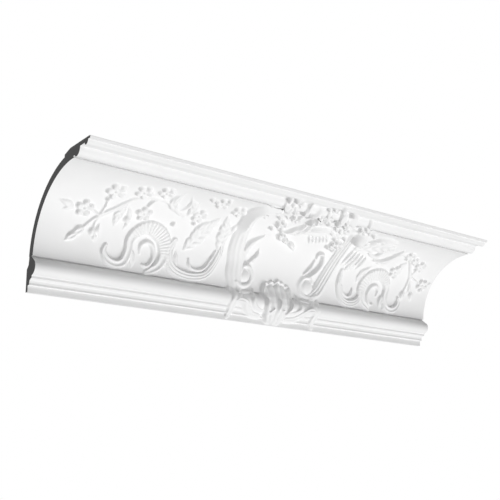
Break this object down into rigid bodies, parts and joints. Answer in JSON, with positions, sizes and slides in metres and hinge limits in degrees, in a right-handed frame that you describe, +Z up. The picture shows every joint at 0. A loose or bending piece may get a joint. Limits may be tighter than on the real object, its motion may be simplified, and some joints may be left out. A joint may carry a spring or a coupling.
{
  "type": "cornice moulding section",
  "caption": "Hollow-backed cove cornice section with bead and ogee mouldings, scroll and floral relief and a rococo cartouche, for a wall and ceiling joint.",
  "frame": {"origin": "middle of the flat wall contact face, halfway along the length", "axes": "+X along the length, +Y into the wall, +Z up to the ceiling"},
  "size_m": [0.74, 0.163, 0.16],
  "materials": {
    "primed_white": "smooth matt white primer over hard polyurethane foam"
  },
  "bodies": {
    "root": {"cornice_moulding": "primed_white"}
  },
  "joints": []
}
